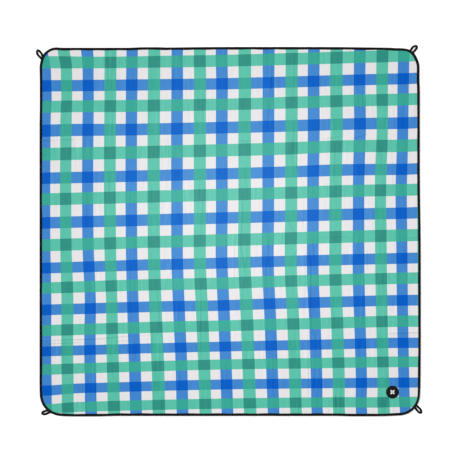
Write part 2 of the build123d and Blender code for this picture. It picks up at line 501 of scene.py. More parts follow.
def wrinkled(x, y):
    """Height of the wrinkles and fold marks in the cover, and the light and shade painted at their steep
    feet.
    """
    highest, painted_light = np.zeros(np.shape(x)), np.zeros(np.shape(x))
    for middle_x, middle_y, length, turn, height, lean in WRINKLES + FOLD_MARKS:
        dx, dy = x - middle_x * MM, y - middle_y * MM
        along = dx * sin(radians(turn)) + dy * cos(radians(turn))
        across = lean * (dx * cos(radians(turn)) - dy * sin(radians(turn)))
        across = across + WRINKLE_SWAY * np.sin(along / WRINKLE_SWAY_LENGTH + middle_x)
        width = np.where(across > 0, STEEP_WIDTH, GENTLE_WIDTH)
        size = height * np.exp(-((along / (0.5 * length * MM)) ** 4))
        highest = np.maximum(highest, size * MM * np.exp(-((across / width) ** 2)))
        # painted light and shade at the steep foot: darker where the steep side faces away from the light,
        # paler where it faces it
        painted_light -= lean * size * np.exp(-(((across - FOOT_OFFSET) / FOOT_WIDTH) ** 2))
    return highest, painted_light


def painted_light_of(x, y):
    """How much paler the cover is painted where a wrinkle's steep side faces the light, or darker below
    zero where it faces away.
    """
    return np.clip(wrinkled(x, y)[1], -MOST_PAINTED_LIGHT, MOST_PAINTED_LIGHT)


def near_marks(marks, low, high, number):
    """Places across (number 0) or along the depth (number 1) of marks that reach into a section."""
    places = []
    for mark in marks:
        length, turn = mark[2] * MM, radians(mark[3])
        way = (sin(turn), cos(turn))
        if low - length / 2 < mark[1] * MM < high + length / 2:
            places += [mark[number] * MM + share * length * way[number] for share in MARK_PLACES]
    return places


def pucker_rise(x, y):
    """Height of the small puckers that the binding's seam pulls into the cover."""
    near_edge = np.exp(-((inset_of(x, y) / PUCKER_REACH) ** 2))
    return PUCKER_HEIGHT * (0.5 + 0.5 * ripples(x, y, PUCKER_WAVE, seed=7)) * near_edge


def cover_rise(x, y):
    """How far the cover alone stands off the foam, which is nothing under the binding and the badge."""
    rise = crease_rise(x, y) + wrinkled(x, y)[0] + pucker_rise(x, y)
    clear = np.clip((inset_of(x, y) - COVER_CLEAR_INSET) / (COVER_RISE_INSET - COVER_CLEAR_INSET), 0, 1)
    return rise * clear * clear_of_badge(x, y, nearness=2)


def pulled(x, y, pulls, power=4):
    """How far a list of local pulls moves a point, in metres."""
    moved_x, moved_y = np.zeros(np.shape(x)), np.zeros(np.shape(x))
    for (at_x, at_y), (reach_x, reach_y), (shift_x, shift_y) in pulls:
        near_x = (x - at_x * MM) / (reach_x * MM)
        near_y = (y - at_y * MM) / (reach_y * MM)
        share = np.exp(-(near_x**power + near_y**power))
        moved_x += shift_x * MM * share
        moved_y += shift_y * MM * share
    return moved_x, moved_y


def shaped(x, y):
    """Where a point of the even rectangle lies once the outline's small pulls have moved it."""
    moved_x, moved_y = pulled(x, y, EDGE_PULLS)
    return x + moved_x, y + moved_y


def print_place(x, y):
    """Place in the printed check, in repeats across and down, of a point of the finished cloth."""
    moved_x, moved_y = pulled(x, y, PRINT_PULLS, power=2)
    x, y = x - moved_x, y - moved_y
    across, back = x / half_width, y / half_depth
    column = x / MM + COLUMN_START + COLUMN_TILT * back + COLUMN_BOW * back**2
    column += COLUMN_SPREAD * across**3 + COLUMN_SKEW * across**2 * back
    row = -y / MM + ROW_START + ROW_TILT * across + ROW_BOW * back**2 + ROW_SPREAD * back**3
    row += ROW_TWIST * across * back**2 + ROW_SKEW * across**2 * back
    return column / sum(w for _, w in COLUMN_STRIPES), row / sum(w for _, w in ROW_STRIPES)


# ---------------------------------------------------------------- meshes
def left_of(ways):
    """Directions a quarter turn to the left of the given ones."""
    return np.stack([-ways[..., 1], ways[..., 0]], axis=-1)


def circle(count):
    """Points spaced evenly round a circle with a radius of 1."""
    turns = np.linspace(0, 2 * pi, count, endpoint=False)
    return np.stack([np.cos(turns), np.sin(turns)], axis=-1)


def mesh_piece(name, points, faces, material, maps, caps=()):
    """A smooth mesh object, with (u, v) at every point for each UV map, and sharp edges round the caps."""
    mesh = bpy.data.meshes.new(name)
    mesh.from_pydata(points.tolist(), [], [list(face) for face in faces])
    corners = np.zeros(len(mesh.loops), np.int32)
    mesh.loops.foreach_get("vertex_index", corners)
    for map_name, (u, v) in maps.items():
        layer = mesh.uv_layers.new(name=map_name)
        layer.uv.foreach_set("vector", np.stack([u, v], axis=-1)[corners].astype(np.float32).ravel())
    mesh.polygons.foreach_set("use_smooth", np.ones(len(mesh.polygons), bool))
    corner_edges = np.zeros(len(mesh.loops), np.int32)
    mesh.loops.foreach_get("edge_index", corner_edges)
    sharp = np.zeros(len(mesh.edges), bool)
    for number in caps:
        cap = mesh.polygons[number]
        sharp[corner_edges[cap.loop_start : cap.loop_start + cap.loop_total]] = True
    mesh.edges.foreach_set("use_edge_sharp", sharp)
    mesh.materials.append(material)
    piece = bpy.data.objects.new(name, mesh)
    bpy.context.scene.collection.objects.link(piece)
    return piece


def spaced(low, high, places, step):
    """Grid lines from low to high, about one step apart and close together near the places."""
    samples = np.linspace(low, high, SPACING_SAMPLES)
    density = np.full(samples.shape, 1 / step)
    for place in places:
        near = np.exp(-(((samples - place) / FINE_REACH) ** 2))
        density = np.maximum(density, near / FINE_STEP + (1 - near) / step)
    lines = np.concatenate([[0], np.cumsum((density[1:] + density[:-1]) / 2) * (samples[1] - samples[0])])
    count = max(2, round(lines[-1]))
    return np.interp(np.linspace(0, lines[-1], count + 1), lines, samples)


def width_lines(step, places=()):
    """Grid lines across the whole width, evenly turned round the corners."""
    straight = half_width - CORNER_RADIUS
    turn = np.linspace(0, pi / 2, CORNER_STEPS + 1)[1:]
    corner = straight + (CORNER_RADIUS - LAYER_INSET) * np.sin(turn)
    return np.concatenate([-corner[::-1], spaced(-straight, straight, places, step), corner])


def plan(x_lines, y_lines):
    """Grid points of a section of a layer, with its corners drawn in to the rounded outline."""
    x, y = np.meshgrid(x_lines, y_lines)
    radius = CORNER_RADIUS - LAYER_INSET
    straight = half_depth - CORNER_RADIUS
    into_corner = np.clip(np.abs(x) - (half_width - CORNER_RADIUS), 0, radius)
    reach = np.sqrt(np.maximum(radius**2 - into_corner**2, 0)) / radius
    reach = np.maximum(reach, LEAST_CORNER_REACH)
    past = np.maximum(np.abs(y) - straight, 0)
    return x, np.sign(y) * (np.minimum(np.abs(y), straight) + past * reach)


def depth_lines(section):
    """Grid lines along the depth of a section of the cloth."""
    low, high = section["y"]
    return spaced(low, high, crease_lines + near_marks(FOLD_MARKS, low, high, 1), GRID_STEP)


def slab(name, x_lines, y_lines, levels, material, is_cover=False):
    """One section of a layer between two levels; the cover is wrinkled too, and has a map of the light and
    shade painted at its wrinkles' feet.
    """
    x, y = plan(x_lines, y_lines)
    moved_x, moved_y = shaped(x, y)
    raised = lift(x, y)
    if is_cover:
        raised = raised + cover_rise(x, y)
    bottom, top = (np.stack([moved_x, moved_y, level + raised], axis=-1).reshape(-1, 3) for level in levels)
    count = len(top)
    index = np.arange(count).reshape(x.shape)
    quads = np.stack([index[:-1, :-1], index[:-1, 1:], index[1:, 1:], index[1:, :-1]], axis=-1)
    quads = quads.reshape(-1, 4)
    rim = np.concatenate([index[0, :-1], index[:-1, -1], index[-1, :0:-1], index[:0:-1, 0]])
    after = np.roll(rim, -1)
    walls = np.stack([rim + count, after + count, after, rim], axis=-1)
    faces = np.concatenate([quads, quads[:, ::-1] + count, walls])
    caps = range(2 * len(quads), len(faces))
    column, row = print_place(moved_x.ravel(), moved_y.ravel())
    maps = {
        "cloth": (np.tile(x.ravel(), 2), np.tile(y.ravel(), 2)),
        "print": (np.tile(column, 2), np.tile(row, 2)),
    }
    if is_cover:
        # the light and shade painted at the wrinkles' steep feet, kept as a UV map
        painted_light = np.tile(painted_light_of(x, y).ravel(), 2)
        maps["painted_light"] = (painted_light, painted_light)
    return mesh_piece(name, np.concatenate([top, bottom]), faces.tolist(), material, maps, caps)


def tape_piece(name, material, points, faces, u, v, caps=()):
    """A piece whose one UV map runs along and across its tape or thread."""
    return mesh_piece(name, points, faces, material, {"tape": (u, v)}, caps)


def stand_and_ride(piece, node, body):
    """The piece takes a CAD node's place, which is hidden, and rides on a body."""
    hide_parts(node)
    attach(piece, body)


def swept(rings):
    """Faces that join a list of equal rings of points into a tube, and which two of them cap its ends."""
    count, size = len(rings), len(rings[0])
    index = np.arange(count * size).reshape(count, size)
    following = np.roll(index, -1, axis=1)
    sides = np.stack([index[:-1], following[:-1], following[1:], index[1:]], axis=-1).reshape(-1, 4)
    faces = sides.tolist() + [index[0, ::-1].tolist(), index[-1].tolist()]
    return faces, (len(sides), len(sides) + 1)


def bend_over_fold(piece):
    """Bakes a piece's transform into its mesh."""
    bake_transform(piece)


def stand_for(section, part):
    """The piece takes the place of its section's two CAD nodes."""
    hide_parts(*(f"{panel}_{part}" for panel in SECTIONS[section]["panels"]))


# ---------------------------------------------------------------- materials
def colour(red, green, blue):
    """Linear colour of an sRGB colour given from 0 to 255."""
    shares = (value / 255 for value in (red, green, blue))
    return tuple(s / 12.92 if s <= 0.04045 else ((s + 0.055) / 1.055) ** 2.4 for s in shares)


def dye(red, green, blue):
    """Base colour that shows as an sRGB colour under the studio's light."""
    return tuple(min(value / LIGHT_LEVEL, 1) for value in colour(red, green, blue)) + (1,)


class Look:
    """A material around one Principled shader, with short calls for the nodes that feed it."""

    def __init__(self, name, **settings):
        self.material = bpy.data.materials.new(name)
        self.material.use_nodes = True
        self.tree = self.material.node_tree
        self.shader = self.tree.nodes["Principled BSDF"]
        for socket, value in settings.items():
            self.shader.inputs[socket.replace("_", " ")].default_value = value

    def node(self, kind, inputs=(), output=0, **properties):
        """Adds a node, sets or links its inputs by number or name, and returns one of its outputs."""
        made = self.tree.nodes.new(kind)
        for name, value in properties.items():
            setattr(made, name, value)
        for number, value in dict(inputs).items():
            if isinstance(value, bpy.types.NodeSocket):
                self.tree.links.new(value, made.inputs[number])
            else:
                made.inputs[number].default_value = value
        return made.outputs[output]

    def feed(self, socket, output):
        """Links an output to one of the shader's inputs."""
        self.tree.links.new(output, self.shader.inputs[socket])

    def math(self, operation, first, second=0.0, third=0.0):
        """Result of a math node."""
        return self.node("ShaderNodeMath", {0: first, 1: second, 2: third}, operation=operation)

    def times(self, first, second):
        """Product of two values."""
        return self.math("MULTIPLY", first, second)

    def line(self, value, slope, start):
        """A value times a slope, plus a start."""
        return self.math("MULTIPLY_ADD", value, slope, start)

    def around(self, value, share, middle=1.0):
        """The middle, plus a share of how far a value is above a half."""
        return self.line(value, share, middle - share / 2)

    def place(self, map_name):
        """The two coordinates of a UV map."""
        split = self.tree.nodes.new("ShaderNodeSeparateXYZ")
        self.tree.links.new(self.node("ShaderNodeUVMap", uv_map=map_name), split.inputs[0])
        return split.outputs[0], split.outputs[1]

    def point(self, u, v):
        """A vector of two coordinates."""
        return self.node("ShaderNodeCombineXYZ", {0: u, 1: v})

    def noise(self, u, v, size, detail=2.0):
        """Noise from 0 to 1 with features of about the given size, or sizes along u and v."""
        size_u, size_v = size if isinstance(size, tuple) else (size, size)
        spot = self.point(self.math("DIVIDE", u, size_u), self.math("DIVIDE", v, size_v))
        return self.node("ShaderNodeTexNoise", {"Vector": spot, "Scale": 1.0, "Detail": detail})

    def ramp(self, factor, stops, interpolation="LINEAR"):
        """A colour ramp with (position, colour) stops."""
        made = self.tree.nodes.new("ShaderNodeValToRGB")
        made.color_ramp.interpolation = interpolation
        elements = made.color_ramp.elements
        elements.remove(elements[1])
        elements[0].position, elements[0].color = stops[0]
        for position, tint in stops[1:]:
            elements.new(position).color = tint
        self.tree.links.new(factor, made.inputs[0])
        return made.outputs[0]

    def between(self, factor, places, tints):
        """A colour that goes from the first tint to the second as a factor goes between two places."""
        return self.ramp(factor, [(place, dye(*tint)) for place, tint in zip(places, tints)])

    def weave(self, u, v, pitch_u, pitch_v):
        """Height from -1 to 1 of a plain weave of threads with the given pitches."""
        warp = self.math("SINE", self.times(u, pi / pitch_u))
        weft = self.math("SINE", self.times(v, pi / pitch_v))
        return self.times(warp, weft)

    def scaled(self, tint, factor):
        """A colour, given or from a node, times a number from a node."""
        plain = tint[:3] if isinstance(tint, tuple) else tint
        return self.node("ShaderNodeVectorMath", {0: plain, 3: factor}, operation="SCALE")

    def bump(self, height, distance):
        """Bump from a height whose unit stands for a distance in metres."""
        inputs = {"Strength": 1.0, "Distance": distance, "Height": height}
        self.feed("Normal", self.node("ShaderNodeBump", inputs))


def stripe_code(look, place, stripes):
    """Code of the stripe at a place counted in repeats, as a share of all the codes."""
    total = sum(width for _, width in stripes)
    stops, start = [], 0.0
    for name, width in stripes:
        level = STRIPE_CODES[name] / CODE_STEPS
        stops.append((start / total, (level, level, level, 1)))
        start += width
    return look.ramp(look.math("FRACT", place), stops, "CONSTANT")


def check_tint(look, u, v):
    """Colour of the check, where crossing stripes mix, with edges a little ragged from the threads."""
    ragged = look.around(look.noise(u, v, RAGGED_SIZE), RAGGED_SHARE, 0.0)
    column, row = (look.math("ADD", place, ragged) for place in look.place("print"))
    code = look.math("ADD", stripe_code(look, column, COLUMN_STRIPES), stripe_code(look, row, ROW_STRIPES))
    code = look.math("ADD", code, 0.5 / CODE_STEPS)
    stops = [(number / CODE_STEPS, dye(*tint)) for number, tint in CHECK_COLOURS.items()]
    return look.ramp(code, stops, "CONSTANT")


def painted_sheen_patches(look, u, v):
    """How much painted sheen the print has, from 0 to about 1, in soft patches that die away from the
    middle.
    """
    off_middle = look.node(
        "ShaderNodeVectorMath", {0: look.point(u, v), 1: (*PAINTED_SHEEN_MIDDLE, 0.0)}, 1, operation="DISTANCE"
    )
    off_middle = look.math("POWER", look.math("DIVIDE", off_middle, PAINTED_SHEEN_REACH), 2.0)
    middle = look.math("EXPONENT", look.times(off_middle, -1.0))
    return look.times(middle, look.around(look.noise(u, v, PAINTED_SHEEN_PATCH), PAINTED_SHEEN_PATCH_SHARE))


def streaks_along(look, u, v):
    """Faint streaks along the depth, up and down from 0, strong only in some patches; the cover bumps with
    them and paints the shade and light of fine wrinkles from them.
    """
    least, most = STREAK_PATCH_RANGE
    patch = look.around(look.noise(u, v, STREAK_PATCH), STREAK_PATCH_SHARE, STREAK_PATCH_MIDDLE)
    patch = look.math("MINIMUM", look.math("MAXIMUM", patch, least), most)
    return look.times(look.math("SUBTRACT", look.noise(u, v, STREAK_SIZE, detail=3.0), 0.5), patch)


def check_cover_look():
    """Two-way stripes printed on fine polyester cloth, streaked and wrinkled, with a painted sheen on the
    middle and painted light and shade on the streaks and wrinkles.
    """
    look = Look("check_cover", Specular_IOR_Level=0.025, Sheen_Weight=0.02, Sheen_Roughness=0.45)
    u, v = look.place("cloth")
    painted_sheen, streaks = painted_sheen_patches(look, u, v), streaks_along(look, u, v)
    mottle = look.noise(u, v, MOTTLE_SIZE, detail=3.0)
    threads = look.weave(u, v, COVER_THREAD, COVER_THREAD)

    # the print is painted deeper and paler along the streaks, as the shade and light of fine wrinkles, and
    # paler with a little white mixed in for the painted sheen on the middle
    ink = look.line(streaks, -STREAK_PAINTED_INK_SHADE, 1.0)
    ink = look.line(painted_sheen, -PAINTED_SHEEN_FADE, ink)
    tint = look.node("ShaderNodeGamma", {0: check_tint(look, u, v), 1: ink})
    painted_whitening = look.times(painted_sheen, PAINTED_SHEEN_SHARE)
    tint = look.node("ShaderNodeMix", {0: painted_whitening, 6: tint, 7: dye(*WHITE)}, 2, data_type="RGBA")

    # painted shade between the threads, painted shade and light of fine wrinkles along the streaks, a
    # random mottle, and painted light and shade at the wrinkles' steep feet
    shade = look.around(threads, THREAD_SHADE)
    shade = look.times(shade, look.line(streaks, STREAK_SHADE, 1.0))
    shade = look.times(shade, look.around(mottle, MOTTLE_SHADE))
    # painted light and shade at the wrinkles' steep feet
    shade = look.times(shade, look.line(look.place("painted_light")[0], PAINTED_LIGHT_SHARE, 1.0))
    look.feed("Base Color", look.scaled(tint, shade))

    height = look.line(threads, THREAD_RELIEF, look.times(streaks, STREAK_RELIEF))
    height = look.line(mottle, MOTTLE_RELIEF, height)
    look.bump(height, COVER_RELIEF)
    look.feed("Roughness", look.around(look.noise(u, v, size=30 * MM), share=0.12, middle=0.62))
    return look.material


def foam_look():
    """Open-cell foam, with 700 cells to the metre."""
    look = Look("foam", Roughness=0.95, Specular_IOR_Level=0.1)
    spot = look.point(*look.place("cloth"))
    inputs = {"Vector": spot, "Scale": 700.0}
    cells = look.node("ShaderNodeTexVoronoi", inputs, feature="DISTANCE_TO_EDGE")
    look.feed("Base Color", look.between(cells, places=(0.0, 0.3), tints=FOAM_COLOURS))
    look.bump(cells, distance=0.5 * MM)
    return look.material


def backing_look():
    """Waterproof coated cloth with a small diamond grain, crumpled a little by being folded."""
    grain_pitch = 2.6 * MM
    look = Look("backing", Specular_IOR_Level=0.08, Sheen_Weight=0.03)
    u, v = look.place("cloth")
    grain = look.weave(look.math("ADD", u, v), look.math("SUBTRACT", u, v), grain_pitch, grain_pitch)
    crumple = look.noise(u, v, size=(45 * MM, 60 * MM), detail=5.0)
    tint = look.between(crumple, places=(0.3, 0.7), tints=BACKING_COLOURS)
    look.feed("Base Color", look.scaled(tint, look.around(grain, share=0.12)))
    look.bump(look.line(grain, 0.12, look.times(crumple, 1.2)), distance=0.7 * MM)
    look.feed("Roughness", look.around(crumple, share=0.25, middle=0.625))
    return look.material


def tape_look(name, tint, rib_pitch, weave_pitch):
    """Woven tape: ribs across its length, crossed by fine threads, and a little fuzzy."""
    look = Look(name, Specular_IOR_Level=0.10, Sheen_Weight=0.04, Sheen_Roughness=0.5)
    u, v = look.place("tape")
    rib = look.math("SINE", look.times(u, 2 * pi / rib_pitch))
    threads = look.weave(u, v, rib_pitch, weave_pitch)
    fuzz = look.noise(u, v, size=(6 * MM, 2.5 * MM), detail=4.0)
    fuzz_light = look.around(fuzz, share=1.0, middle=0.95)
    light = look.line(look.math("ADD", rib, threads), 0.12, fuzz_light)
    look.feed("Base Color", look.scaled(dye(*tint), light))
    height = look.line(rib, 0.3, look.times(threads, 0.25))
    look.bump(look.line(fuzz, 0.3, height), distance=0.22 * MM)
    look.feed("Roughness", look.around(fuzz, share=0.2, middle=0.84))
    return look.material


def thread_look(name, tint):
    """Twisted thread."""
    twist_pitch = 0.55 * MM
    look = Look(name, Roughness=0.6, Specular_IOR_Level=0.2, Sheen_Weight=0.08)
    u, v = look.place("tape")
    turned = look.line(v, 2.0, u)
    twist = look.math("SINE", look.times(turned, 2 * pi / twist_pitch))
    look.feed("Base Color", look.scaled(dye(*tint), look.line(twist, slope=0.25, start=0.9)))
    look.bump(look.line(twist, slope=0.5, start=0.5), distance=0.08 * MM)
    return look.material


def badge_look():
    """Soft moulded rubber with a fine matt grain and a little dust."""
    look = Look("badge_rubber", Specular_IOR_Level=0.09)
    u, v = look.place("tape")
    dust = look.noise(u, v, size=9 * MM, detail=4.0)
    look.feed("Base Color", look.between(dust, places=(0.35, 0.75), tints=BADGE_COLOURS))
    look.bump(look.noise(u, v, size=0.7 * MM, detail=3.0), distance=0.06 * MM)
    look.feed("Roughness", look.around(dust, share=0.3, middle=0.49))
    return look.material


def print_look():
    """Raised matt white print on rubber."""
    look = Look("badge_print", Roughness=0.55, Specular_IOR_Level=0.3)
    u, v = look.place("tape")
    grain = look.noise(u, v, size=1.2 * MM, detail=4.0)
    look.feed("Base Color", look.between(grain, places=(0.25, 0.6), tints=PETAL_COLOURS))
    look.bump(grain, distance=0.05 * MM)
    return look.material


def floor_look():
    """Plain pale studio floor, which glows a little."""
    glow = {"Emission_Color": (1, 1, 1, 1), "Emission_Strength": FLOOR_GLOW}
    return Look("floor", Base_Color=FLOOR_COLOUR, Roughness=0.9, Specular_IOR_Level=0.0, **glow).material


cover_material = check_cover_look()
foam_material = foam_look()
backing_material = backing_look()
binding_material = tape_look("binding_tape", BINDING_COLOUR, rib_pitch=1.3 * MM, weave_pitch=0.8 * MM)
loop_material = tape_look("loop_tape", LOOP_COLOUR, rib_pitch=1.1 * MM, weave_pitch=0.7 * MM)
thread_material = thread_look("sewing_thread", THREAD_COLOUR)
badge_thread_material = thread_look("badge_thread", BADGE_THREAD_COLOUR)


# ---------------------------------------------------------------- cover, foam and backing
def add_layers(name, section):
    """Backing, foam and cover of one section. The binding hides their edges, so they share one outline."""
    y_lines = depth_lines(section)
    backing_levels = (backing_z, foam_z - FOAM_CLEARANCE)
    foam_levels = (foam_z, foam_top - FOAM_CLEARANCE)
    cover_x = width_lines(CROSS_STEP, near_marks(WRINKLES, *section["y"], 0))
    backing = slab(
        f"{name}_backing_cloth", width_lines(BACKING_STEP), y_lines, backing_levels, backing_material
    )
    foam = slab(f"{name}_foam_padding", width_lines(FOAM_STEP), y_lines, foam_levels, foam_material)
    cover = slab(
        f"{name}_check_cover", cover_x, y_lines, (cover_z, cover_top), cover_material, is_cover=True
    )
    stand_for(name, "backing")
    stand_for(name, "foam_pad")
    stand_for(name, "top_cover")
    for piece in (backing, foam, cover):
        bend_over_fold(piece)
    return backing, foam, cover


layers = {name: add_layers(name, section) for name, section in SECTIONS.items()}


# ---------------------------------------------------------------- binding and its seam
def side_path(values, side):
    """Points up or down a straight side, and the way into the mat from each."""
    points = np.stack([np.full(len(values), side * half_width), values], axis=-1)
    return points, np.tile([-side, 0.0], (len(values), 1))


def corner_path(side, start_angle):
    """Points round a front corner, clockwise, without its two ends."""
    angles = radians(start_angle) - np.linspace(0, pi / 2, CORNER_STEPS + 1)[1:-1]
    out = np.stack([np.cos(angles), np.sin(angles)], axis=-1)
    centre = (side * (half_width - CORNER_RADIUS), CORNER_RADIUS - half_depth)
    return out * CORNER_RADIUS + centre, -out


def end_path(side_values):
    """Clockwise round the front of the mat, from a right side place to the left side place opposite."""
    straight = spaced(CORNER_RADIUS - half_width, half_width - CORNER_RADIUS, (), GRID_STEP)[::-1]
    front = np.stack([straight, np.full(len(straight), -half_depth)], axis=-1)
    parts = [
        side_path(side_values[::-1], 1),
        corner_path(1, 0),
        (front, np.tile([0.0, 1.0], (len(straight), 1))),
        corner_path(-1, -90),
        side_path(side_values, -1),
    ]
    return np.concatenate([part[0] for part in parts]), np.concatenate([part[1] for part in parts])


def edge_paths(name):
    """The runs of the mat's edge in one section, each as points and ways in."""
    lines = depth_lines(SECTIONS[name])
    if name == "centre":
        return [side_path(lines[::-1], 1), side_path(lines, -1)]
    ends = lines if name == "front" else -lines[::-1]
    corner_end = CORNER_RADIUS - half_depth
    values = np.concatenate([[corner_end], ends[ends > corner_end + FINE_STEP]])
    points, inwards = end_path(values)
    turn = 1 if name == "front" else -1
    return [(turn * points, turn * inwards)]


def on_binding(points, inwards, inset, height):
    """Points a given way in from the edge and above the ground, on the binding as it really lies."""
    wander = 1 + BINDING_WANDER * ripples(points[..., 0], points[..., 1], BINDING_WANDER_WAVE, seed=17)
    plain = points + inwards * (inset * wander)[..., None]
    x, y = shaped(plain[..., 0], plain[..., 1])
    return np.stack([x, y, height + lift(plain[..., 0], plain[..., 1])], axis=-1)


def distances(points):
    """Distance along a line of points to each of them."""
    steps = np.linalg.norm(np.diff(points, axis=0), axis=-1)
    return np.concatenate([[0], np.cumsum(steps)])


def binding_run(points, inwards):
    """The folded tape along one run of the edge, as (points, faces, u, v), and the faces at its ends."""
    section = np.array(BINDING_SECTION) * MM
    # taken from its last point to its first, so that the faces look outwards
    rings = [on_binding(points, inwards, inset, height) for inset, height in section[::-1]]
    rings = np.stack(rings, axis=1)
    faces, caps = swept(rings)
    along = np.repeat(distances(points), len(section))
    across = np.tile(distances(section)[::-1], len(points))
    return (rings.reshape(-1, 3), faces, along, across), caps


def stitch_shape(length):
    """One stitch as rings of points: length along X, with its ends sunk, and the faces that join them."""
    rings = []
    for place in STITCH_PLACES:
        size = np.sqrt(1 - STITCH_TAPER * place**2)
        along = np.full(STITCH_SIDES, place * length / 2)
        girth = circle(STITCH_SIDES) * size * (STITCH_WIDTH / 2, STITCH_HEIGHT / 2)
        rings.append(np.column_stack([along, girth - (0, STITCH_SINK * place**2)]))
    faces, _ = swept(rings)
    return np.concatenate(rings), faces


def stitches(centres, alongs, length, upside=1):
    """Many stitches as (points, faces, u, v), each centred on a point and laid along a direction."""
    shape, faces = stitch_shape(length)
    across = left_of(alongs)
    plan_points = (
        centres[:, None, :2]
        + shape[None, :, :1] * alongs[:, None]
        + shape[None, :, 1:2] * across[:, None] * upside
    )
    heights = centres[:, None, 2] + shape[None, :, 2] * upside
    points = np.concatenate([plan_points, heights[..., None]], axis=-1).reshape(-1, 3)
    all_faces = []
    for number in range(len(centres)):
        start = number * len(shape)
        all_faces += [[start + corner for corner in face] for face in faces]
    along = np.tile(shape[:, 0], len(centres))
    girth = np.tile(np.arctan2(shape[:, 2], shape[:, 1]) * STITCH_WIDTH / 2, len(centres))
    return points, all_faces, along, girth


def joined(parts):
    """Several (points, faces, u, v) as one."""
    points, faces, us, vs, start = [], [], [], [], 0
    for part_points, part_faces, u, v in parts:
        points.append(part_points)
        faces += [[start + corner for corner in face] for face in part_faces]
        us.append(u)
        vs.append(v)
        start += len(part_points)
    return np.concatenate(points), faces, np.concatenate(us), np.concatenate(vs)


def seam_run(points, inwards):
    """The stitches of one run of the binding's seam, above and below."""
    place = distances(points)
    count = int(place[-1] / STITCH_PITCH)
    at = (np.arange(count) + 0.5) * place[-1] / count
    spots = np.stack([np.interp(at, place, points[:, i]) for i in (0, 1)], axis=-1)
    ways = np.stack([np.interp(at, place, inwards[:, i]) for i in (0, 1)], axis=-1)
    ways /= np.linalg.norm(ways, axis=-1)[:, None]
    alongs = left_of(ways)
    top = on_binding(spots, ways, SEAM_INSET, SEAM_TOP)
    bottom = on_binding(spots, ways, SEAM_INSET, SEAM_BOTTOM)
    return [stitches(top, alongs, STITCH_LENGTH), stitches(bottom, alongs, STITCH_LENGTH, upside=-1)]


def add_edge(name):
    """The binding and the seam of one section."""
    tape_parts, cap_faces, seam_parts, face_count = [], [], [], 0
    for points, inwards in edge_paths(name):
        part, caps = binding_run(points, inwards)
        tape_parts.append(part)
        cap_faces += [face_count + cap for cap in caps]
        face_count += len(part[1])
        seam_parts += seam_run(points, inwards)
    binding = tape_piece(f"{name}_edge_binding", binding_material, *joined(tape_parts), caps=cap_faces)
    seam = tape_piece(f"{name}_edge_stitching", thread_material, *joined(seam_parts))
    stand_for(name, "binding")
    stand_for(name, "binding_thread")
    bend_over_fold(binding)
    bend_over_fold(seam)
    return binding, seam


for name, section in SECTIONS.items():
    binding, seam = add_edge(name)


# ---------------------------------------------------------------- peg loops and their bar tacks
def smooth_line(controls):
    """Points along the Catmull-Rom curve through the control points."""
    first, last = 2 * controls[:1] - controls[1:2], 2 * controls[-1:] - controls[-2:-1]
    padded = np.concatenate([first, controls, last])
    share = np.linspace(0, 1, LOOP_STEPS, endpoint=False)[:, None]
    parts = []
    for before, start, end, after in zip(padded, padded[1:], padded[2:], padded[3:]):
        parts.append(
            0.5
            * (
                2 * start
                + (end - before) * share
                + (2 * before - 5 * start + 4 * end - after) * share**2
                + (3 * start - before - 3 * end + after) * share**3
            )
        )
    return np.concatenate([*parts, controls[-1:]])


def tape_section():
    """Section of the loops' flat tape, in halves of its width and in thicknesses, with thicker edges."""
    upper = [(-across, up) for across, up in reversed(LOOP_TAPE_SIDE)] + LOOP_TAPE_SIDE
    return upper + [(-across, -up) for across, up in upper]


def loop_rings(line, off_edge):
    """Rings of the flat tape's section along a line, lying on the ground and tilted where it turns."""
    ways = np.gradient(line, axis=0)
    steps = np.linalg.norm(ways, axis=-1)
    ways /= steps[:, None]
    lefts = left_of(ways)
    turning = np.abs((np.gradient(ways, axis=0) * lefts).sum(axis=-1)) / steps
    window = np.ones(LOOP_BANK_WINDOW) / LOOP_BANK_WINDOW
    turning = np.convolve(np.pad(turning, LOOP_BANK_WINDOW // 2, mode="edge"), window, mode="valid")
    banks = radians(LOOP_BANK) * np.minimum(turning * LOOP_BANK_RADIUS, 1)
    on_ground = LOOP_TAPE_THICKNESS * LOOP_REST_SHARE + np.sin(banks) * LOOP_TAPE_WIDTH / 2
    at_edge = np.exp(-((np.maximum(off_edge, 0) / LOOP_FALL) ** 2))
    heights = on_ground + (mat_top / 2 - on_ground) * at_edge
    rings = []
    for spot, left, bank, height in zip(line, lefts, banks, heights):
        wide = np.array([left[0] * cos(bank), left[1] * cos(bank), -sin(bank)]) * LOOP_TAPE_WIDTH / 2
        normal = np.array([left[0] * sin(bank), left[1] * sin(bank), cos(bank)]) * LOOP_TAPE_THICKNESS
        middle = np.append(spot, height)
        rings.append([middle + wide * across + normal * up for across, up in tape_section()])
    return np.array(rings)


def edge_inset(points):
    """How far inside the mat's edge, as the small pulls have left it, each point lies."""
    pull_x, pull_y = pulled(points[:, 0], points[:, 1], EDGE_PULLS)
    return inset_of(points[:, 0] - pull_x, points[:, 1] - pull_y)


def run_into_edge(ring, way):
    """A ring moved along a way until every point of it lies the same small distance inside the edge."""
    moved = ring.copy()
    for _ in range(EDGE_ROUNDS):
        short = LOOP_ROOT_INSET - edge_inset(moved)
        gain = (edge_inset(moved + way * MM) - edge_inset(moved)) / MM
        moved = moved + way * (short / gain)[:, None]
    return moved


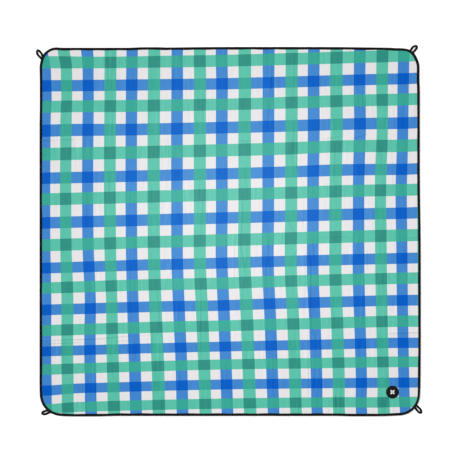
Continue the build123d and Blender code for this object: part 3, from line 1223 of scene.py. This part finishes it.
def peg_loop(corner, controls):
    """One peg loop, laid out from its CAD hinge."""
    joint = joints[f"{corner}_loop_lift"]
    hinge = np.array(joint["pos_m"])
    along = np.array([joint["axis"][1], -joint["axis"][0]])
    across = left_of(along)
    line = smooth_line(np.array(controls, float) * MM)
    line = hinge[:2] + line[:, :1] * along + line[:, 1:] * across
    line = line[edge_inset(line) < -LOOP_ROOT_GAP]
    rings = loop_rings(line, -edge_inset(line))
    ways = np.zeros((2, 3))
    ways[:, :2] = line[0] - line[1], line[-1] - line[-2]
    ways /= np.linalg.norm(ways, axis=-1)[:, None]
    ends = [run_into_edge(ring, way) for ring, way in zip((rings[0], rings[-1]), ways)]
    rings = np.concatenate([ends[:1], rings, ends[1:]])
    faces, caps = swept(rings)
    size = len(rings[0])
    u = np.repeat(distances(rings.mean(axis=1)), size)
    v = np.tile([share * LOOP_TAPE_WIDTH / 2 for share, _ in tape_section()], len(rings))
    piece = tape_piece(f"{corner}_tape_loop", loop_material, rings.reshape(-1, 3), faces, u, v, caps)
    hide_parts(f"{corner}_peg_loop", f"{corner}_loop_tail")
    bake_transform(piece)


def bar_tack(corner):
    """The close stitches over a loop's sewn end."""
    low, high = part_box(f"{corner}_bar_tack")
    middle = np.array(((low + high) / 2).xy)
    arc_centre = np.sign(middle) * (half_width - CORNER_RADIUS, half_depth - CORNER_RADIUS)
    out = middle - arc_centre
    out /= np.linalg.norm(out)
    across = left_of(out)
    steps = np.linspace(-0.5, 0.5, TACK_STITCHES)[:, None] * TACK_SPAN
    sway = TACK_SWAY * np.cos(pi * np.arange(TACK_STITCHES))[:, None]
    plain = middle + steps * across + sway * out
    x, y = shaped(plain[:, 0], plain[:, 1])
    centres = np.stack([x, y, TACK_TOP + lift(plain[:, 0], plain[:, 1])], axis=-1)
    parts = stitches(centres, np.tile(out, (TACK_STITCHES, 1)), TACK_STITCH_LENGTH)
    piece = tape_piece(f"{corner}_bar_tack_stitches", thread_material, *parts)
    panel = joints[f"{corner}_loop_lift"]["parent"]
    stand_and_ride(piece, f"{corner}_bar_tack", panel)


for corner, controls in LOOP_LINES.items():
    peg_loop(corner, controls)
    bar_tack(corner)


# ---------------------------------------------------------------- badge
badge_middle = np.array(badge_centre.xy)
badge_top = badge_high.z


def badge_disc():
    """Low rubber disc with a rounded rim and a groove that the seam lies in."""
    around = circle(BADGE_SIDES)
    rings = []
    for radius, drop in BADGE_SECTION:
        heights = np.full(BADGE_SIDES, badge_top + drop * MM)
        rings.append(np.column_stack([badge_middle + around * radius * MM, heights]))
    faces, _ = swept(rings)
    points = np.concatenate(rings)
    piece = tape_piece("round_badge", badge_look(), points, faces, points[:, 0], points[:, 1])
    stand_and_ride(piece, "badge", "front_quarter")


def badge_seam():
    """Ring of stitches that sews the badge down."""
    out = circle(BADGE_STITCHES)
    heights = np.full(BADGE_STITCHES, badge_top - BADGE_STITCH_DROP * MM)
    centres = np.column_stack([badge_middle + out * BADGE_GROOVE_RADIUS * MM, heights])
    parts = stitches(centres, left_of(out), BADGE_STITCH_LENGTH * MM)
    piece = tape_piece("badge_stitching", badge_thread_material, *parts)
    stand_and_ride(piece, "badge_seam", "front_quarter")


def petal(turn):
    """One low domed petal, turned about the badge's middle, as (points, faces, u, v)."""
    rings = []
    for share, rise in PETAL_PROFILE:
        along, side = (circle(PETAL_SIDES) * share * (PETAL_LENGTH / 2, PETAL_WIDTH / 2)).T
        along = along + PETAL_OFFSET
        # kept off the flower's open eye
        radius = np.maximum(np.hypot(along, side), FLOWER_EYE_RADIUS + FLOWER_EYE_SLOPE * (1 - share))
        angle = np.arctan2(side, np.maximum(along, LEAST_PETAL_REACH)) + turn
        flat = np.stack([radius * np.cos(angle), radius * np.sin(angle)], axis=-1) * MM
        heights = np.full(PETAL_SIDES, badge_top + (PETAL_LIFT + PETAL_HEIGHT * rise) * MM)
        rings.append(np.column_stack([badge_middle + flat, heights]))
    faces, _ = swept(rings)
    points = np.concatenate(rings)
    return points, faces, points[:, 0], points[:, 1]


def badge_flower():
    """Four petals round an open eye."""
    turns = [radians(FIRST_PETAL_TURN + number * 360 / PETAL_COUNT) for number in range(PETAL_COUNT)]
    parts = joined([petal(turn) for turn in turns])
    piece = tape_piece("badge_petals", print_look(), *parts)
    stand_and_ride(piece, "badge_flower", "front_quarter")


badge_disc()
badge_seam()
badge_flower()


# ---------------------------------------------------------------- studio
def add_floor():
    """Plain square floor just under the mat."""
    mesh = bpy.data.meshes.new("floor")
    corners = [(-1, -1), (1, -1), (1, 1), (-1, 1)]
    points = [(side_x * FLOOR_REACH, side_y * FLOOR_REACH, FLOOR_LEVEL) for side_x, side_y in corners]
    mesh.from_pydata(points, [], [(0, 1, 2, 3)])
    mesh.materials.append(floor_look())
    floor = bpy.data.objects.new("floor", mesh)
    bpy.context.scene.collection.objects.link(floor)


def add_light(name, kind, place, **settings):
    """A light that looks at the middle of the mat and isn't seen itself."""
    lamp = bpy.data.lights.new(name, kind)
    for setting, value in settings.items():
        setattr(lamp, setting, value)
    holder = bpy.data.objects.new(name, lamp)
    holder.location = place
    holder.rotation_euler = (-Vector(place)).to_track_quat("-Z", "Y").to_euler()
    holder.visible_camera = False
    bpy.context.scene.collection.objects.link(holder)


def add_studio():
    """Even white surroundings, a broad light overhead and a soft low one from the back left."""
    world = bpy.data.worlds.new("studio")
    world.use_nodes = True
    background = world.node_tree.nodes["Background"]
    background.inputs["Color"].default_value = (1, 1, 1, 1)
    background.inputs["Strength"].default_value = WORLD_LEVEL
    bpy.context.scene.world = world
    place = (0, 0, OVERHEAD_HEIGHT)
    add_light("overhead", "AREA", place, shape="SQUARE", size=OVERHEAD_SIZE, energy=OVERHEAD_POWER)
    add_light("key", "SUN", SUN_PLACE, energy=SUN_LEVEL * pi, angle=radians(SUN_ANGLE))


def add_camera():
    """Camera straight above the mat, as far off as makes the view just as wide as VIEW_WIDTH."""
    camera = bpy.data.cameras.new("camera")
    camera.sensor_width = SENSOR_WIDTH
    camera.lens = SENSOR_WIDTH * CAMERA_HEIGHT / VIEW_WIDTH
    holder = bpy.data.objects.new("camera", camera)
    holder.location = (*VIEW_CENTRE, CAMERA_HEIGHT)
    bpy.context.scene.collection.objects.link(holder)
    bpy.context.scene.camera = holder
    bpy.context.scene.view_settings.view_transform = "Standard"


add_floor()
add_studio()
add_camera()
